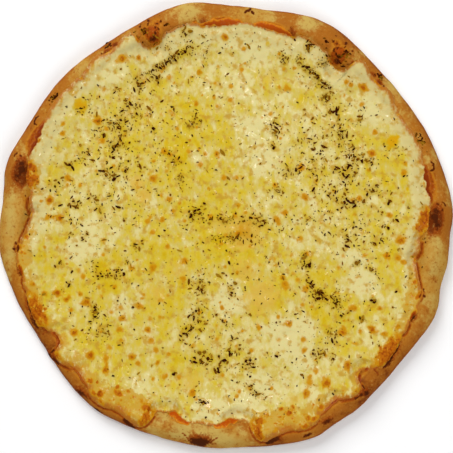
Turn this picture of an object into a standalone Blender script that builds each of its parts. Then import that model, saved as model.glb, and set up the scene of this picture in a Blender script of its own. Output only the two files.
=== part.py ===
"""A whole four cheese pizza, baked, uncut and lying flat on its underside.

Metres, +Z up. The origin is in the middle of the underside, at the level that it lies on. Bearings
are degrees anticlockwise from +X, seen from above.

There are three solids: the dough with its raised rim, the tomato sauce spread over the dish inside
the rim, and the sheet of melted cheese, which covers the sauce and has run up and over the rim in
places.
"""

import math

import bmesh
import bpy
from mathutils import Vector, noise

MM = 0.001
SPOKES = 116
FIT_GAP = 0.35 * MM
SHARP_ANGLE = math.radians(50.0)

# The dough is a hand-stretched round of this radius. Where its rim puffed up it stands further
# out and higher: (bearing, half width in degrees, how far out).
ROUND_RADIUS = 146.2 * MM
PUFFS = (
    (3.5, 9.0, 5.6 * MM), (16.0, 9.0, 2.2 * MM), (61.0, 10.0, 4.8 * MM), (70.0, 9.0, 2.8 * MM),
    (100.0, 8.0, 5.6 * MM), (110.0, 7.0, 1.5 * MM), (141.0, 10.0, 2.6 * MM), (155.0, 7.0, 2.0 * MM),
    (165.0, 7.0, 6.6 * MM), (178.0, 7.0, 4.0 * MM), (187.5, 7.0, 5.4 * MM), (199.0, 7.0, 1.6 * MM),
    (224.0, 8.0, 1.8 * MM), (235.0, 8.0, 4.6 * MM), (250.0, 8.0, 2.4 * MM), (266.0, 10.0, 3.6 * MM),
    (281.0, 7.0, 3.2 * MM), (293.0, 7.0, 7.2 * MM), (305.0, 7.0, 3.4 * MM), (318.0, 8.0, 2.6 * MM),
    (330.0, 6.0, 1.8 * MM), (338.0, 6.0, 5.4 * MM), (350.0, 6.0, 2.4 * MM),
)
BED_THICKNESS = 4.5 * MM
WIDEST_HEIGHT = 5.2 * MM
UNDERCUT = 7.0 * MM  # how far in from the widest point the underside starts to lift
INNER_SLOPE = 11.0 * MM
# The rim is broader and higher where it puffed up and where the cheese left more of it bare.
CREST_INSET = 4.6 * MM
INSET_PER_BARE_WIDTH = 0.36
CREST_HEIGHT = 10.2 * MM
HEIGHT_PER_BARE_WIDTH = 0.24
HEIGHT_PER_PUFF = 0.25
EVENED_OVER = (-6.0, -3.0, 0.0, 3.0, 6.0)  # degrees along the rim

# The cheese ends at this radius, less or more where it stayed back or ran out: (bearing, half
# width, how far out). The pizza's two halves, either side of the axis, are nearly alike.
CHEESE_RADIUS = 139.0 * MM
HALVES_AXIS = 83.4
CHEESE_RUNS = (
    (84.0, 5.0, -3.0 * MM), (93.0, 5.0, -4.8 * MM), (102.0, 6.0, -3.6 * MM), (111.5, 3.4, -8.6 * MM),
    (118.5, 2.8, 6.2 * MM), (125.5, 4.5, 4.6 * MM), (130.5, 2.5, 2.2 * MM), (143.5, 5.5, 3.2 * MM),
    (150.5, 3.0, 1.2 * MM), (165.0, 2.2, -4.0 * MM), (169.0, 2.4, -8.2 * MM), (174.8, 3.8, -7.2 * MM),
    (180.0, 2.2, -2.6 * MM), (189.0, 5.0, 2.6 * MM), (197.0, 4.0, 1.6 * MM), (204.5, 4.2, 4.4 * MM),
    (213.0, 2.4, -3.8 * MM), (219.0, 2.6, 5.0 * MM), (224.8, 2.6, 1.4 * MM), (234.5, 6.0, 7.0 * MM),
    (243.8, 3.6, 7.8 * MM), (252.8, 4.0, -7.4 * MM), (264.0, 8.0, -4.6 * MM),
)
LEAST_BARE_WIDTH = 2.6 * MM
CHEESE_THICKNESS = 3.0 * MM
CHEESE_LIP = 0.6 * MM
CHEESE_EDGE_SHARES = (0.5, 0.8)  # its thickness on the first rings in from the lip
CHEESE_TOP_SHARES = (0.8, 0.6, 0.4, 0.2)  # rings of its top, as shares of the bed's radius
MOUND_HEIGHT = 1.0 * MM
MOUND_WIDTH = 40.0 * MM
MOUND_SEED = Vector((7.3, 2.1, 4.6))

# The sauce ends just past the cheese's edge, and further out in these places, where it shows:
# (bearing, half width, share of its full reach).
SAUCE_SHOWS = ((94.0, 4.5, 1.0), (157.0, 6.0, 1.0), (212.6, 2.6, 0.8), (225.5, 3.6, 0.8), (254.0, 3.2, 1.0))
SAUCE_HIDDEN_REACH = 0.4 * MM
SAUCE_SHOWN_REACH = 3.4 * MM
SAUCE_MOST_OF_RIM = 0.5  # the largest share of the bare rim that it covers
SAUCE_THICKNESS = 1.0 * MM
SAUCE_UNDER_CHEESE_EDGE = 0.35 * MM
SAUCE_LIP = 0.25 * MM

# The layers share these rings, so they lie parallel and never cross: first some steps in from the
# cheese's edge, and then shares of the innermost of those. The dough has a few more outside them.
EDGE_STEPS = (0.0, 1.2 * MM, 3.5 * MM, 8.0 * MM, 13.0 * MM)
BED_SHARES = (0.62, 0.3)
UNDERCUT_SHARES = (1.0, 0.4, 0.12)
BARE_RIM_SHARES = (0.0, 0.12, 0.45)
SAUCE_RINGS = 7

# name: (base colour, roughness)
FINISHES = {
    "dough": ((0.50, 0.26, 0.08), 0.75),
    "tomato_sauce": ((0.42, 0.05, 0.01), 0.35),
    "melted_cheese": ((0.71, 0.58, 0.22), 0.32),
}


def degrees_apart(first, second):
    return (first - second + 180.0) % 360.0 - 180.0


def in_both_halves(humps):
    """The humps of one half of the pizza, and their mirror images in the other."""
    both = list(humps)
    for bearing, half_width, height in humps:
        mirrored = (2.0 * HALVES_AXIS - bearing) % 360.0
        if abs(degrees_apart(mirrored, bearing)) > half_width / 2.0:
            both.append((mirrored, half_width, height))
    return both


def swell(bearing, humps, bluntness):
    """Sum of the humps at a bearing. A higher bluntness gives flatter tops and steeper sides."""
    return sum(h * math.exp(-abs(degrees_apart(bearing, b) / w) ** bluntness) for b, w, h in humps)


def rim_radius(bearing):
    return ROUND_RADIUS + swell(bearing, PUFFS, 2)


def cheese_radius(bearing):
    run = CHEESE_RADIUS + swell(bearing, in_both_halves(CHEESE_RUNS), 4)
    return min(run, rim_radius(bearing) - LEAST_BARE_WIDTH)


def sauce_shows(bearing):
    return min(1.0, swell(bearing, in_both_halves(SAUCE_SHOWS), 4))


def sauce_radius(bearing):
    edge = cheese_radius(bearing)
    reach = SAUCE_HIDDEN_REACH + SAUCE_SHOWN_REACH * sauce_shows(bearing)
    return edge + min(reach, SAUCE_MOST_OF_RIM * (rim_radius(bearing) - edge))


def bare_width(bearing):
    """Width of the rim outside the cheese, evened out along it."""
    around = [bearing + offset for offset in EVENED_OVER]
    return sum(rim_radius(b) - cheese_radius(b) for b in around) / len(around)


def dough_top(bearing, radius):
    """Height of the dough's upper side: a rounded rim that falls away to the level bed."""
    inset = rim_radius(bearing) - radius
    bare = bare_width(bearing)
    crest_inset = CREST_INSET + INSET_PER_BARE_WIDTH * bare
    puff = rim_radius(bearing) - ROUND_RADIUS
    crest = CREST_HEIGHT + HEIGHT_PER_BARE_WIDTH * bare + HEIGHT_PER_PUFF * puff
    if inset < crest_inset:
        return WIDEST_HEIGHT + (crest - WIDEST_HEIGHT) * quarter_round(inset / crest_inset)
    down = min(1.0, (inset - crest_inset) / INNER_SLOPE)
    return crest - (crest - BED_THICKNESS) * down * down * (3.0 - 2.0 * down)


def quarter_round(along):
    """Rises from 0 to 1 as a quarter of a circle does, upright at first and level at the end."""
    return math.sqrt(max(0.0, 1.0 - (1.0 - along) ** 2))


def shared_radii(bearing):
    """The sauce's edge, the cheese's edge and the rings inside them, from the outside in."""
    edge = cheese_radius(bearing)
    stepped = [edge - step for step in EDGE_STEPS]
    return [sauce_radius(bearing)] + stepped + [stepped[-1] * share for share in BED_SHARES]


def dough_rings(bearing):
    """(radius, height) along one spoke, from under the rim, round it and in over the bed."""
    rim = rim_radius(bearing)
    bare = rim - sauce_radius(bearing)
    under = [(rim - UNDERCUT * s, WIDEST_HEIGHT * (1.0 - quarter_round(s))) for s in UNDERCUT_SHARES]
    upper = [rim - share * bare for share in BARE_RIM_SHARES] + shared_radii(bearing)
    return under + [(radius, dough_top(bearing, radius)) for radius in upper]


def sauce_rings(bearing):
    """From the middle of the sauce's underside, out to its edge, and back over its top."""
    radii = shared_radii(bearing)[:SAUCE_RINGS]
    shown = sauce_shows(bearing) / 2.0
    at_cheese_edge = SAUCE_UNDER_CHEESE_EDGE + shown * (SAUCE_THICKNESS - SAUCE_UNDER_CHEESE_EDGE)
    thickness = [SAUCE_LIP, at_cheese_edge] + [SAUCE_THICKNESS] * (SAUCE_RINGS - 2)
    under = [(radius, dough_top(bearing, radius) + FIT_GAP) for radius in radii]
    over = [(radius, height + thick) for (radius, height), thick in zip(under, thickness)]
    return under[::-1] + over


def cheese_rings(bearing):
    """From the middle of the cheese's underside, out to its lip, and back over its top."""
    sauce_top = sauce_rings(bearing)[SAUCE_RINGS + 1:]
    under = [(radius, height + FIT_GAP) for radius, height in sauce_top]
    shares = [*CHEESE_EDGE_SHARES, 1.0, 1.0]
    over = [(r, z + CHEESE_THICKNESS * share) for (r, z), share in zip(under[1:], shares)]
    level = BED_THICKNESS + SAUCE_THICKNESS + CHEESE_THICKNESS + 2.0 * FIT_GAP
    over += [(over[-1][0] * share, level) for share in CHEESE_TOP_SHARES]
    lip = (under[0][0], under[0][1] + CHEESE_LIP)
    return under[::-1] + [lip] + [(r, z + mound(bearing, r)) for r, z in over]


def mound(bearing, radius):
    """The melted sheet isn't level: it lies in broad low mounds."""
    place = at(bearing, radius, 0.0) / MOUND_WIDTH
    return MOUND_HEIGHT * noise.noise(place + MOUND_SEED)


def at(bearing, radius, height):
    angle = math.radians(bearing)
    return Vector((radius * math.cos(angle), radius * math.sin(angle), height))


def loft(name, rings_of, level_ends):
    """One solid through the rings of every spoke. A level end is closed by one flat face, and an
    uneven one by a fan of triangles."""
    bearings = [360.0 * spoke / SPOKES for spoke in range(SPOKES)]
    spokes = [[at(b, radius, height) for radius, height in rings_of(b)] for b in bearings]
    bm = bmesh.new()
    loops = [[bm.verts.new(place) for place in places] for places in zip(*spokes)]
    for pair in zip(loops, loops[1:]):
        inner, outer = sorted(pair, key=lambda loop: loop[0].co.x)
        join_loops(bm, inner, outer)
    for loop, level in zip((loops[0], loops[-1]), level_ends):
        end = bm.faces.new(loop)
        if not level:
            bmesh.ops.poke(bm, faces=[end])
    bmesh.ops.recalc_face_normals(bm, faces=bm.faces)
    mesh = bpy.data.meshes.new(name)
    bm.to_mesh(mesh)
    bm.free()
    mesh.shade_smooth()
    mesh.set_sharp_from_angle(angle=SHARP_ANGLE)
    mesh.materials.append(finish(name))
    bpy.context.scene.collection.objects.link(bpy.data.objects.new(name, mesh))


def join_loops(bm, inner, outer):
    """A band between two loops, split along the same diagonals in every layer, so that layers
    which lie parallel never cross."""
    edges = []
    for loop in (inner, outer):
        for pair in zip(loop, loop[1:] + loop[:1]):
            edges.append(bm.edges.get(pair) or bm.edges.new(pair))
    bmesh.ops.bridge_loops(bm, edges=edges)
    for diagonal in zip(outer, inner[1:] + inner[:1]):
        bmesh.ops.connect_verts(bm, verts=diagonal)


def finish(name):
    colour, roughness = FINISHES[name]
    material = bpy.data.materials.new(name)
    material.use_nodes = True
    shader = material.node_tree.nodes["Principled BSDF"]
    shader.inputs["Base Color"].default_value = (*colour, 1.0)
    shader.inputs["Roughness"].default_value = roughness
    shader.inputs["Metallic"].default_value = 0.0
    return material


def main():
    for old in list(bpy.data.objects):
        bpy.data.objects.remove(old)
    loft("dough", dough_rings, level_ends=(True, False))
    loft("tomato_sauce", sauce_rings, level_ends=(False, False))
    loft("melted_cheese", cheese_rings, level_ends=(False, False))


main()
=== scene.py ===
"""A whole four cheese pizza, baked and uncut, lying on a pale floor and seen from straight above.

It is put together as a cook does it: the dough, the tomato sauce, the melted cheeses and the dried
herbs. Shapes are worked out in millimetres, and only the finished points are turned into metres.
Bearings are degrees anticlockwise from +X, seen from above.
"""

import itertools
import math

import bmesh
import bpy
import numpy as np
from mathutils import Euler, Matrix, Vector
from mathutils.bvhtree import BVHTree
from mathutils.kdtree import KDTree


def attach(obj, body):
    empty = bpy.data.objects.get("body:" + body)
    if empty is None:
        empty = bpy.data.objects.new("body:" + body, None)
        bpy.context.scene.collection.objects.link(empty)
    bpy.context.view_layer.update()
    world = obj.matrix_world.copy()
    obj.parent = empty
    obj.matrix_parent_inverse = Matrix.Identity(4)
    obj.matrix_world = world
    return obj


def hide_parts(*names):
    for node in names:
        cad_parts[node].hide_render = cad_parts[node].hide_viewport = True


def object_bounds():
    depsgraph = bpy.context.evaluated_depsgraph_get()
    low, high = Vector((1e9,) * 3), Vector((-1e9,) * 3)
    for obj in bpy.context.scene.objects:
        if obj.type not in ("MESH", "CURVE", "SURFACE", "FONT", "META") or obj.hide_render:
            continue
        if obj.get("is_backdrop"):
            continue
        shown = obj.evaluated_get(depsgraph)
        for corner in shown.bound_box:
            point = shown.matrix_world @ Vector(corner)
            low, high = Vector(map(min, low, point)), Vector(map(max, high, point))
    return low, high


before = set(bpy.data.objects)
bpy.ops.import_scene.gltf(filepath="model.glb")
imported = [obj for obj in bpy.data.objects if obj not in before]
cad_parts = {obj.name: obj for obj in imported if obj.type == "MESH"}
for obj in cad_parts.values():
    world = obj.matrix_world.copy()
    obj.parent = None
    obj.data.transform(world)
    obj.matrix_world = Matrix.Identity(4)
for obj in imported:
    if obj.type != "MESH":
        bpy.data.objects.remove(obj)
cad_low, cad_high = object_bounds()


# ---- The dough -----------------------------------------------------------------------------
# A hand-stretched round of bread dough, baked on stone: thin under the topping, puffed up round
# its rim, golden with paler and browner stretches and a few burnt blisters, toasted underneath.
# Its rounded outer flank is darkened with painted shade.

MM = 0.001
RIM_SPOKES = 1350
ROUND_RADIUS = 146.5
# Where the rim puffed up it stands further out: (bearing, half width in degrees, how far out).
PUFFS = [
    (3.5, 9, 5.8), (16, 9, 2.8), (27, 6, 1.2), (61, 10, 4.2), (70, 9, 2.4), (88, 6, 1), (100, 8, 5),
    (110, 7, 1.6), (141, 10, 2), (155, 7, 2.2), (165, 7, 6.4), (178, 7, 4.4), (187.5, 7, 5.4),
    (199, 8, 2.6), (224, 8, 1.8), (235, 8, 4.8), (243.5, 5, 1), (250, 8, 2.4), (266, 10, 3.3),
    (281, 7, 3.6), (286, 4, 1), (293, 7, 7.4), (305, 7, 4.9), (318, 8, 2.6), (330, 6, 3.4), (338, 6, 6),
    (350, 6, 3.8),
]
# The two halves of the pizza, either side of this axis, are nearly alike, but the right half's
# marks lie this much nearer the left.
HALVES_AXIS = 83.4
RIGHT_HALF_SHIFT = 1.8
# Where the cheese ends, on the left half: (bearing, radius).
CHEESE_EDGE = [
    (83.4, 136.4), (86, 135.8), (87.2, 135.2), (89, 134.6), (92, 134), (94, 134.6), (95.5, 134.4),
    (97.4, 134.6), (98.4, 136.6), (101, 137), (104, 136.4), (107, 135), (109, 133), (110.6, 131),
    (113, 130.4), (114.6, 131.5), (115.1, 136), (115.6, 141), (116.4, 143.8), (118, 144.2), (119.4, 143),
    (121, 141), (123, 140.2), (125.6, 140.4), (126.6, 143), (128.4, 143.6), (130, 142.2), (131.4, 140.4),
    (133.6, 140), (134.4, 138.6), (135.4, 139.9), (139, 140.2), (141, 141.2), (144, 141.6), (147, 141.2),
    (149.4, 139.8), (152, 139.4), (153.6, 137.8), (155, 139), (156.4, 138), (158.6, 138.6),
    (160.4, 139.4), (162, 138.8), (164, 137.8), (167, 137.2), (168.4, 135), (169.6, 133), (171, 131.8),
    (172.2, 132.4), (174.5, 132), (176, 130.4), (177.4, 131.2), (178.6, 132.2), (180, 133.4),
    (181.6, 134.8), (184, 137.6), (186, 139.2), (188, 141.2), (191, 142), (194, 140), (196.4, 141.2),
    (198, 140.6), (200, 141.2), (203, 142.2), (206, 142.4), (208.2, 142.6), (209, 140), (210.6, 138.6),
    (211.2, 137), (212, 135), (213.6, 134.8), (214.8, 135.4), (215.4, 137), (216, 141), (216.6, 143.2),
    (218, 144.2), (220, 144), (221.4, 142.2), (222.6, 139.8), (224, 139), (226, 139.6), (228, 141.2),
    (229.6, 142.8), (230.6, 144.8), (232, 146.2), (234.5, 146.9), (236.4, 146.2), (238, 144.4),
    (240, 144), (242, 144.8), (243.6, 146.2), (245.4, 147.4), (246.8, 146.8), (247.8, 144.6),
    (248.6, 140.6), (249.2, 136.6), (249.8, 133), (251, 132), (253, 131.2), (254.4, 129.6), (256, 131.2),
    (258, 133.6), (259.6, 134), (262, 133.6), (263.4, 133.4),
]
LEAST_BARE_WIDTH = 1.4

BED_THICKNESS = 4.5
WIDEST_HEIGHT = 5.2
UNDERCUT = 7.0
INNER_SLOPE = 13.0
CREST_INSET = 4.6
INSET_PER_BARE_WIDTH = 0.5
CREST_HEIGHT = 10.2
HEIGHT_PER_BARE_WIDTH = 0.24
HEIGHT_PER_PUFF = 0.25

# Relief is made of layers of smooth hills: (height, width, seed).
RIM_DENTS = [(0.35, 9.0, 1)]
CHEESE_EDGE_WAVES = [(0.6, 4.0, 2), (0.5, 1.8, 3)]
CRUST_RELIEF = [(0.55, 21.0, 5), (0.34, 8.5, 6), (0.13, 3.4, 7), (0.05, 1.7, 8)]
UNDERSIDE_RELIEF = [(0.45, 14.0, 9), (0.2, 4.0, 10)]

# The lattices that relief and noise grow on stand askew and start well outside the pizza, so that
# no lump lines up with X or Y, and no two lattices meet in one line.
ASKEW = Euler((0.6, 0.8, 0.5))
LATTICE_START = (0.31, 0.47, 0.23)
# Sums of slopes reach about 0.6 on their own.
HILL_GAIN = 1.6


def apart(bearing, other):
    return (bearing - other + 180.0) % 360.0 - 180.0


def on_left_half(bearing):
    """The bearing itself on the left half, and its mirror image's bearing on the right half."""
    turned = np.radians(apart(bearing, HALVES_AXIS))
    shift = np.where(turned < 0.0, RIGHT_HALF_SHIFT / ROUND_RADIUS * np.cos(turned), 0.0)
    return HALVES_AXIS + np.degrees(np.abs(turned) + shift)


def nearer(bearing):
    """How much nearer the middle things are here than on the left half."""
    return RIGHT_HALF_SHIFT * np.maximum(0.0, -np.sin(np.radians(apart(bearing, HALVES_AXIS))))


def swell(bearing, humps):
    """The sum of smooth humps: (bearing, half width in degrees, height)."""
    return sum(h * np.exp(-np.abs(apart(bearing, b) / w) ** 2) for b, w, h in humps)


def hills(points, width, seed):
    """Smooth random relief at an array of points, with hills about this wide, from -1 to 1."""
    rng = np.random.default_rng(seed)
    order = rng.permutation(256)
    slopes = rng.normal(size=(256, 3))
    slopes /= np.linalg.norm(slopes, axis=1)[:, None]
    turned = np.reshape(points, (-1, 3)) @ np.array(ASKEW.to_matrix())
    cells = (turned + np.array(LATTICE_START) / MM) / width
    corner = np.floor(cells).astype(int)
    along = cells - corner
    eased = along**3 * (along * (6.0 * along - 15.0) + 10.0)
    total = np.zeros(len(cells))
    for step in itertools.product((0, 1), repeat=3):
        x, y, z = ((corner + step) % 256).T
        slope = slopes[order[(order[(order[x] + y) % 256] + z) % 256]]
        share = np.where(step, eased, 1.0 - eased).prod(axis=1)
        total += share * (slope * (along - step)).sum(axis=1)
    return np.reshape(HILL_GAIN * total, np.shape(points)[:-1])


def relief(points, layers):
    return sum(height * hills(points, width, seed) for height, width, seed in layers)


def place(bearing, radius, height):
    """Points from bearings, radii and heights, in millimetres."""
    angle, radius, height = np.broadcast_arrays(np.radians(bearing), radius, height)
    return np.stack([radius * np.cos(angle), radius * np.sin(angle), height], axis=-1)


def ramp(value, low, high):
    """0 on low's side and 1 on high's side of the two, and a smooth rise between them."""
    share = np.clip((value - low) / (high - low), 0.0, 1.0)
    return share * share * (3.0 - 2.0 * share)


def rim_radius(bearing):
    dents = relief(place(bearing, ROUND_RADIUS, 0.0), RIM_DENTS)
    return ROUND_RADIUS + swell(bearing, PUFFS) + dents


def cheese_radius(bearing):
    edge = np.interp(on_left_half(bearing), *zip(*CHEESE_EDGE)) - nearer(bearing)
    edge += relief(place(bearing, ROUND_RADIUS, 0.0), CHEESE_EDGE_WAVES)
    return np.minimum(edge, rim_radius(bearing) - LEAST_BARE_WIDTH)


def bare_width(bearing):
    around = [bearing + offset for offset in (-6.0, -3.0, 0.0, 3.0, 6.0)]
    return sum(rim_radius(b) - cheese_radius(b) for b in around) / len(around)


SPOKE_BEARINGS = np.arange(0.0, 360.0, 0.2)
OUTLINES = {shape: shape(SPOKE_BEARINGS) for shape in (rim_radius, cheese_radius, bare_width)}


def outline(shape, bearing):
    """An outline at any bearing, read from its table, which is quicker than working it out."""
    return np.interp(bearing % 360.0, SPOKE_BEARINGS, OUTLINES[shape], period=360.0)


def crest(bearing):
    """The rim's highest line: how far in from the edge it is, and its height."""
    bare = outline(bare_width, bearing)
    puff = outline(rim_radius, bearing) - ROUND_RADIUS
    height = CREST_HEIGHT + HEIGHT_PER_BARE_WIDTH * bare + HEIGHT_PER_PUFF * puff
    return CREST_INSET + INSET_PER_BARE_WIDTH * bare, height


def dough_top(bearing, radius):
    """Height of the dough's upper side: a rounded rim that falls away to the level bed."""
    inset = outline(rim_radius, bearing) - radius
    crest_inset, height = crest(bearing)
    out = np.clip(1.0 - inset / crest_inset, 0.0, 1.0)
    rounded = WIDEST_HEIGHT + (height - WIDEST_HEIGHT) * np.sqrt(1.0 - out**2)
    fall = (height - BED_THICKNESS) * ramp(inset, crest_inset, crest_inset + INNER_SLOPE)
    return np.where(inset < crest_inset, rounded, height - fall)


# What baking left on the rim, on the left half or on the axis. Patches are (bearing, radius, half
# length along the rim, half width across it, strength), and lines (half width, points on it).
BURNT = [
    (263.9, 145.3, 9, 3.2, 1.35), (164.8, 141.2, 3.4, 2.6, 1.1), (166.2, 141.4, 3.6, 1.8, 0.9),
    (163.2, 143, 2.4, 1.5, 0.8), (166.8, 142.8, 2.6, 2, 0.8), (163, 142, 2.2, 1.8, 0.9),
    (167.8, 142.6, 1.2, 1, 0.8), (162.8, 145.8, 0.9, 0.8, 0.8), (161.2, 144, 1.2, 1.6, 0.6),
    (229, 148, 4, 1.6, 0.9), (216.4, 146.8, 2, 1.7, 1.1), (192.8, 141.4, 1.3, 0.8, 0.9),
    (192.4, 140.5, 4.2, 1.5, 1), (186.3, 142, 1.2, 1.2, 0.9), (184.8, 140.4, 1.3, 0.8, 0.9),
    (186.6, 139.4, 2.6, 1.1, 0.75), (111.4, 134.6, 2.9, 1.9, 0.7), (108.9, 138.4, 0.8, 1.5, 0.9),
    (110.1, 137.1, 1.1, 0.9, 0.9), (108.8, 142.4, 1.1, 0.9, 0.9), (109.6, 140.4, 0.7, 1.3, 0.8),
    (107.7, 143.1, 0.9, 1.3, 0.9), (110.8, 146.6, 0.9, 1.3, 0.9), (111.2, 144.1, 0.8, 1, 0.9),
    (112.6, 141.6, 1.8, 1.4, 0.9), (113.4, 145, 0.8, 0.8, 0.8), (125.9, 141.8, 0.9, 0.7, 0.9),
    (206.4, 144.4, 3.4, 1.2, 0.8), (175.8, 137.6, 0.7, 0.6, 0.6), (107.6, 147.2, 0.7, 0.6, 0.9),
    (145.6, 142.6, 0.6, 0.5, 0.8), (235, 151, 4, 1, 0.9), (171.6, 135.2, 0.7, 0.6, 0.8),
]
BURNT_LINES = [
    (0.7, [(152, 143.4), (152, 145.4), (150.4, 146), (150, 145.2)]),
    (1, [(84.9, 143), (84.2, 144.4), (83.4, 145.8)]),
    (1.7, [(245.2, 148.4), (244, 147.6), (242.6, 146.6)]),
    (0.7, [(216, 144), (215.9, 142)]),
    (0.6, [(200.9, 141.8), (202, 142.6), (203.2, 143), (204.4, 142.6), (205.4, 143.3), (207, 143.8),
          (208.6, 143.2)]),
    (0.6, [(206.4, 143), (208, 143.8)]),
    (0.8, [(124.2, 143.6), (123.4, 144), (122.4, 144.6)]),
    (0.6, [(161.9, 148.6), (160.9, 147.6)]),
    (0.8, [(219.6, 145.4), (217.6, 145.6)]),
]
BROWNED = [
    (111.2, 137, 7.4, 6.4, 0.6), (111.6, 134.6, 3.4, 2.4, 0.9), (112.8, 137.2, 2.4, 1.6, 1.1),
    (109.6, 143, 4.5, 3.6, 0.7), (115.2, 138.6, 1.4, 1.8, 0.9), (124.4, 141.4, 3, 1.7, 1),
    (121.6, 142.2, 2.6, 1.9, 1), (165, 142.4, 10, 4.4, 1.4), (166, 138.6, 9.6, 3.2, 1.4),
    (153.6, 143.6, 2.6, 3, 0.7), (157.8, 142.4, 1.8, 2, 0.6), (176.2, 132.2, 4, 1.4, 0.7),
    (192.2, 141, 5, 2, 1.2), (186.6, 139.8, 5, 2.6, 1.1), (263.9, 142.8, 10.4, 3.8, 1),
    (202, 142.4, 7, 2.2, 0.8), (229, 147, 6, 2.6, 0.8), (243.6, 147.2, 6, 2.8, 0.85),
    (217, 145.4, 5.5, 2.6, 0.9), (204, 144, 10, 1.8, 0.6), (181.9, 147, 0.9, 1.4, 0.6),
    (179.8, 141, 2.2, 2.2, 0.35), (134.6, 144.6, 1, 0.9, 0.5), (96.4, 136.8, 3.2, 2.4, 0.9),
]
BROWNED_LINES = [
    (0.55, [(178, 131.8), (179.6, 133.4), (181.4, 135.2), (183.2, 137.2), (184.4, 138.6)]),
    (0.7, [(215.9, 141), (216.4, 144), (218, 145), (220, 144.8), (221.6, 142.8), (223, 141.4)]),
    (0.5, [(230.6, 145.6), (232, 147.2), (234.5, 147.9), (236.4, 147.2), (238.2, 145.4), (240.2, 145),
          (242.2, 145.8)]),
    (0.5, [(242.2, 145.8), (243.8, 147.2), (245.6, 148.4), (247.2, 147.4), (248.3, 144.6), (249.1, 140.6),
          (249.5, 136.6)]),
    (0.6, [(194.2, 140.4), (195.6, 141.8), (197.2, 142), (198.4, 141)]),
    (0.7, [(172, 133.2), (174.8, 133.6), (176.4, 131.8)]),
    (0.5, [(260.2, 145.6), (259.4, 143.4), (258.2, 141.6)]),
    (0.6, [(209.2, 139.6), (210.6, 139.4), (210.7, 143)]),
]
PALE = [
    (99.6, 144.2, 8, 5.6, 0.75), (225.6, 144.2, 3.6, 2.6, 0.9), (178, 143.4, 9, 4, 0.55),
    (172, 144, 6, 3, 0.5), (257, 142, 7.5, 4.4, 0.9), (262.4, 136.6, 9, 3.2, 1.3),
    (251.6, 136, 4, 4, 0.9), (188, 146, 7, 3, 0.5), (91, 147, 9, 2, 0.3), (209.6, 141.6, 1.2, 2, 0.6),
    (248.8, 141.5, 1.2, 6, 0.5),
]
REDDENED = [
    (91.2, 137.6, 8, 2.2, 0.95), (155.6, 141.4, 11, 3.6, 1), (110.9, 137, 6.2, 6.8, 1.3),
    (108.8, 142.4, 4, 4, 0.85), (192.4, 140.4, 5, 1.6, 0.8), (186.6, 139.4, 5, 1.8, 0.9),
    (213.6, 137.2, 5, 1.6, 0.5), (256, 134.6, 6, 1.4, 0.5), (153.6, 141.6, 4, 2, 1.2),
    (98.8, 137.6, 2, 0.6, 0.9), (225.6, 141.6, 9, 0.7, 0.6),
]
# The sauce's fat reddened the rim on either side of the browned lines, but for the last two.
HALO_WIDTH = 2.4
HALOES = [(HALO_WIDTH * half_width, path) for half_width, path in BROWNED_LINES[:-2]]
BLISTERS = [
    (263.9, 144, 10, 5.5, 1.3), (164.4, 143, 8, 5, 0.9), (111.4, 136.5, 7, 6.5, 1.5),
    (216.6, 145.4, 4, 3.4, 0.8), (228.8, 147.6, 5, 3, 0.6), (243.4, 147.4, 6, 2.6, 0.6),
    (187.2, 141, 5, 3, 0.5), (99, 146, 9, 4, 0.6), (176, 141, 11, 4, 0.6), (150.8, 144.8, 2.6, 2.4, 0.6),
    (253, 143, 8, 4, 0.5), (129, 146, 9, 2.5, 0.4),
]
# Along the whole width of the rim: (bearing, half width in degrees, how brown, pale or fatty).
BROWNER = [
    (93.5, 4, 0.55), (104.5, 3.5, 0.35), (111, 4.5, 0.8), (122.5, 4, 0.75), (132.5, 5, 0.25),
    (141.5, 5, 0.5), (147.5, 4, 0.3), (153, 3.5, 0.55), (158.5, 3, 0.3), (165, 4.5, 0.6),
    (171, 3.5, 0.25), (189, 4, 0.15), (196, 4.5, 0.3), (203, 4.5, 0.7), (209, 4, 0.9), (216, 4.5, 1.1),
    (223, 4, 0.7), (229.5, 4, 0.9), (237, 4.5, 0.6), (243.5, 3.5, 1.1), (249.5, 2.5, 0.3),
    (263.4, 5, 0.4),
]
PALER_ON_RIGHT = [(42, 12, 0.28), (70, 14, 0.22)]
GREASY = [(91, 7, 1), (140, 20, 0.4), (174, 11, 1.2), (196, 10, 0.6), (222, 14, 0.8)]
GREASE_REACH = 7.5
SHADED_FLANK_DEPTH = 2.4
# Heights between which the underside gives way to the flank, in shape and in colour.
BASE_ENDS = (0.4, 3.5)
FLOUR_ENDS = (0.3, 2.2)
# How suddenly patches end: 2 is the soft bell curve, and more is blunter.
BURNT_BLUNTNESS = 2.4
BAKED_BLUNTNESS = 2.6


def patches(bearing, radius, marks, bluntness=2.0):
    """How strongly patches of baking cover each point, on both halves."""
    covered = np.zeros(np.shape(radius))
    radius = radius + nearer(bearing)
    bearing = on_left_half(bearing)
    for at, mark_radius, half_along, half_across, strength in marks:
        along = np.radians(apart(bearing, at)) * mark_radius / half_along
        across = (radius - mark_radius) / half_across
        covered = np.maximum(covered, strength * np.exp(-((along**2 + across**2) ** (bluntness / 2.0))))
    return covered


def lines(bearing, radius, marks):
    """How strongly lines of baking cover each point, on both halves."""
    covered = np.zeros(np.shape(radius))
    radius = radius + nearer(bearing)
    bearing = on_left_half(bearing)
    for half_width, path in marks:
        for (start, start_radius), (end, end_radius) in zip(path, path[1:]):
            along = np.radians(apart(bearing, start)) * start_radius
            across = radius - start_radius
            end_along = math.radians(end - start) * start_radius
            end_across = end_radius - start_radius
            share = (along * end_along + across * end_across) / (end_along**2 + end_across**2)
            share = np.clip(share, 0.0, 1.0)
            away = np.hypot(along - share * end_along, across - share * end_across) / half_width
            covered = np.maximum(covered, np.exp(-(away**2)))
    return covered


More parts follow.
